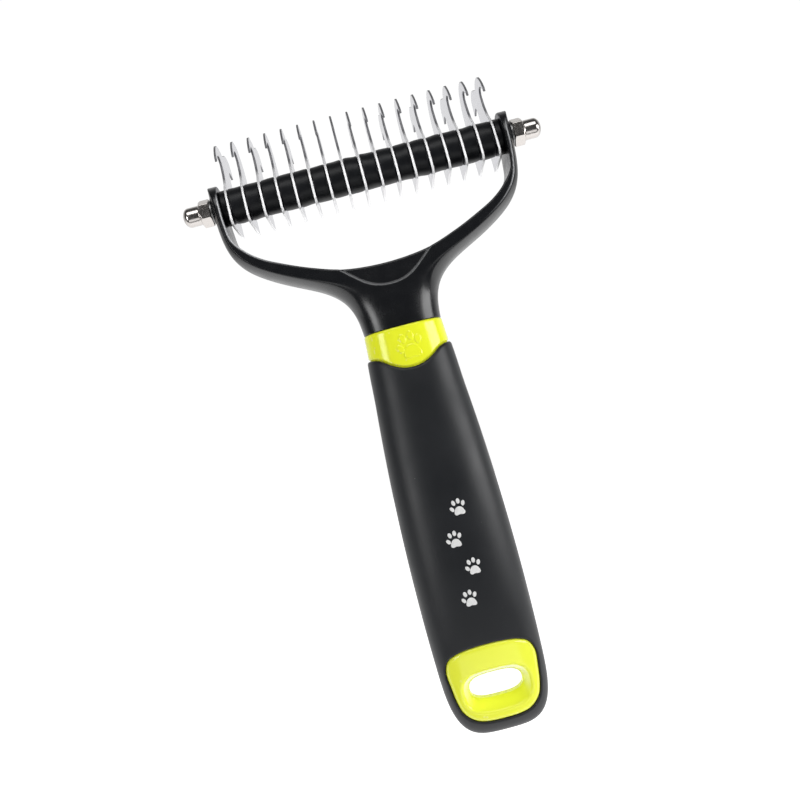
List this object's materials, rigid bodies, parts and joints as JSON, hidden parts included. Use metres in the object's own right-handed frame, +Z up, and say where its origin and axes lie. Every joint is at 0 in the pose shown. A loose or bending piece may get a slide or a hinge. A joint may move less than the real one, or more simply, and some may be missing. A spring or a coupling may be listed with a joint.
{
  "type": "deshedding tool",
  "caption": "Hand-held double-sided undercoat rake: a forked yoke holds a rod of hooked steel blades above a soft-grip handle with a hanging slot.",
  "frame": {"origin": "centre of the hanging slot in the lower end of the handle, at the middle of the handle's depth", "axes": "+X to the right along the blade rod, +Z up the handle towards the blades, -Y the front, where the closely spaced teeth are"},
  "size_m": [0.1058, 0.0303, 0.1836],
  "materials": {
    "black_plastic": "glossy injection-moulded, near black",
    "lime_plastic": "glossy injection-moulded, lime",
    "grey_rubber": "soft-touch matte overmould",
    "polished_steel": "thin polished stainless",
    "steel": "plain zinc-plated",
    "nickel": "bright nickel plate"
  },
  "bodies": {
    "tool": {"yoke": "black_plastic", "handle_core": "lime_plastic", "grip": "grey_rubber", "tang_pin": "steel", "blade_rod": "steel", "blade_01": "polished_steel", "blade_02": "polished_steel", "blade_03": "polished_steel", "blade_04": "polished_steel", "blade_05": "polished_steel", "blade_06": "polished_steel", "blade_07": "polished_steel", "blade_08": "polished_steel", "blade_09": "polished_steel", "blade_10": "polished_steel", "blade_11": "polished_steel", "blade_12": "polished_steel", "blade_13": "polished_steel", "blade_14": "polished_steel", "blade_15": "polished_steel", "blade_16": "polished_steel", "blade_17": "polished_steel", "spacer_01": "black_plastic", "spacer_02": "black_plastic", "spacer_03": "black_plastic", "spacer_04": "black_plastic", "spacer_05": "black_plastic", "spacer_06": "black_plastic", "spacer_07": "black_plastic", "spacer_08": "black_plastic", "spacer_09": "black_plastic", "spacer_10": "black_plastic", "spacer_11": "black_plastic", "spacer_12": "black_plastic", "spacer_13": "black_plastic", "spacer_14": "black_plastic", "spacer_15": "black_plastic", "spacer_16": "black_plastic", "spacer_17": "black_plastic", "spacer_18": "black_plastic"},
    "left_washer": {"washer_left": "steel"},
    "left_nut": {"cap_nut_left": "nickel"},
    "right_washer": {"washer_right": "steel"},
    "right_nut": {"cap_nut_right": "nickel"}
  },
  "joints": [
    {"name": "left_nut_turn", "type": "hinge", "parent": "tool", "child": "left_washer", "pos_m": [-0.04425, 0, 0.151], "axis": [-1, 0, 0], "range_deg": [0, 2520]},
    {"name": "left_nut_travel", "type": "slide", "parent": "left_washer", "child": "left_nut", "axis": [-1, 0, 0], "range_m": [0, 0.0049]},
    {"name": "right_nut_turn", "type": "hinge", "parent": "tool", "child": "right_washer", "pos_m": [0.04425, 0, 0.151], "axis": [1, 0, 0], "range_deg": [0, 2520]},
    {"name": "right_nut_travel", "type": "slide", "parent": "right_washer", "child": "right_nut", "axis": [1, 0, 0], "range_m": [0, 0.0049]}
  ],
  "couplings": [
    {"joint": "left_nut_turn", "follows": "left_nut_travel", "rad_per_m": 8975.9},
    {"joint": "right_nut_turn", "follows": "right_nut_travel", "rad_per_m": 8975.9}
  ]
}
